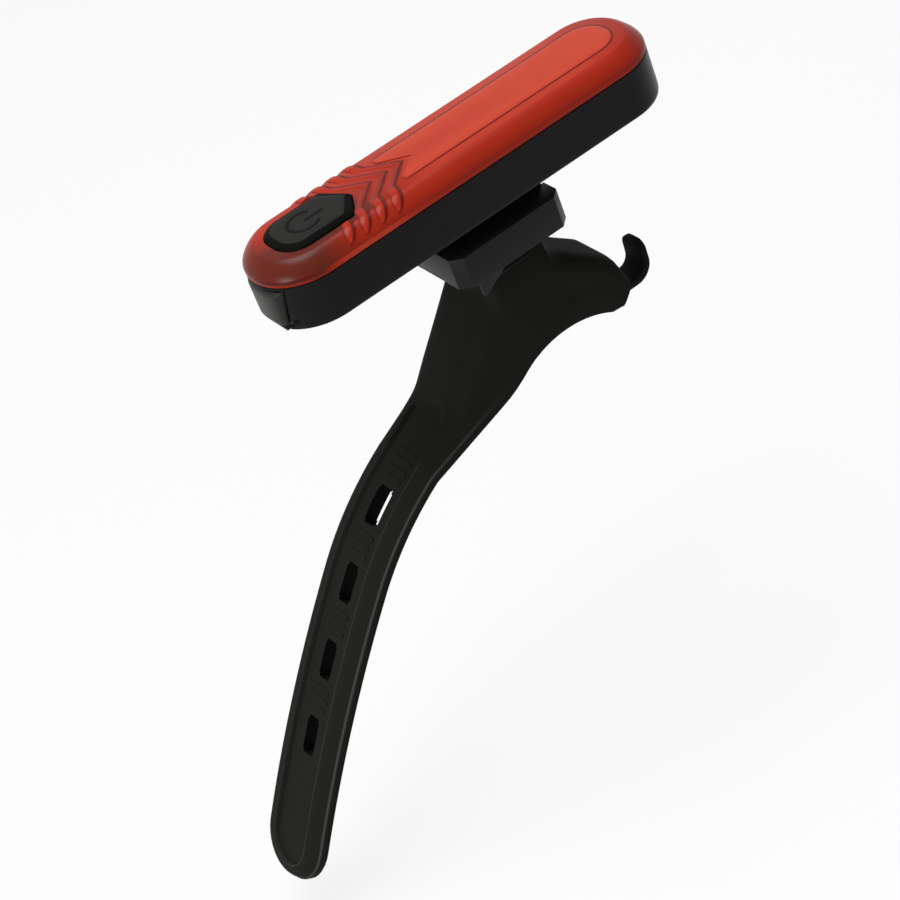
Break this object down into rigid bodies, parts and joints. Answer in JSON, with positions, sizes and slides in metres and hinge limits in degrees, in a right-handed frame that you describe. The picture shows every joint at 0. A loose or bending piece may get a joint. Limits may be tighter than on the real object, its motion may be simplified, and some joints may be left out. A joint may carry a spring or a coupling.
{
  "type": "bicycle rear light",
  "caption": "Slim rechargeable bicycle rear light with a red lens and push button, on a slide-in shoe with a rubber strap and hook that grips a seat post.",
  "frame": {"origin": "on the axis of the post that the cradle grips, in the middle of the strap's width", "axes": "+Y along the post's axis, +X along the light from its button end to its far end, +Z out of the lens"},
  "size_m": [0.1118, 0.0186, 0.1062],
  "materials": {
    "black_plastic": "fine moulded texture",
    "red_lens": "polished clear red",
    "seal_rubber": "smooth",
    "red_diffuser": "frosted",
    "white_plastic": "smooth",
    "led_yellow": "smooth",
    "board_green": "solder mask",
    "steel": "plain",
    "chip_black": "smooth",
    "led_green": "smooth",
    "button_rubber": "soft, matt",
    "grey_rubber": "soft, matt",
    "battery_foil": "satin foil",
    "white_foam": "foam",
    "lead_red": "smooth",
    "shoe_plastic": "fine moulded texture",
    "strap_rubber": "smooth, slightly glossy"
  },
  "bodies": {
    "strap": {"strap_saddle": "strap_rubber", "bracket_shoe": "shoe_plastic", "anchor_plate": "shoe_plastic", "shoe_screws": "steel"},
    "tail": {"strap_tail": "strap_rubber"},
    "light": {"housing": "black_plastic", "lens": "red_lens", "lens_seal": "seal_rubber", "diffuser": "red_diffuser", "reflector_tray": "white_plastic", "led_strip": "white_plastic", "led_chips": "led_yellow", "circuit_board": "board_green", "board_screws": "steel", "control_chips": "chip_black", "charge_led": "led_green", "tact_switch": "chip_black", "usb_socket": "steel", "usb_tongue": "chip_black", "battery": "battery_foil", "battery_pad": "white_foam", "battery_leads": "lead_red", "cover_tether": "grey_rubber"},
    "button": {"button": "button_rubber", "switch_plunger": "white_plastic"},
    "port_cover": {"port_cover": "grey_rubber"}
  },
  "joints": [
    {"name": "light_slide", "type": "slide", "parent": "strap", "child": "light", "axis": [1, 0, 0], "range_m": [0, 0.022]},
    {"name": "strap_flex", "type": "hinge", "parent": "strap", "child": "tail", "pos_m": [-0.03125, 0, 0.00862], "axis": [0, -1, 0], "range_deg": [-25, 70], "stiffness_Nm_per_rad": 0.05},
    {"name": "button_press", "type": "slide", "parent": "light", "child": "button", "axis": [0, 0, -1], "range_m": [0, 0.00035], "stiffness_N_per_m": 3000},
    {"name": "port_cover_hinge", "type": "hinge", "parent": "light", "child": "port_cover", "pos_m": [-0.04265, 0, 0.04535], "axis": [0, -1, 0], "range_deg": [0, 100], "stiffness_Nm_per_rad": 0.0005}
  ]
}
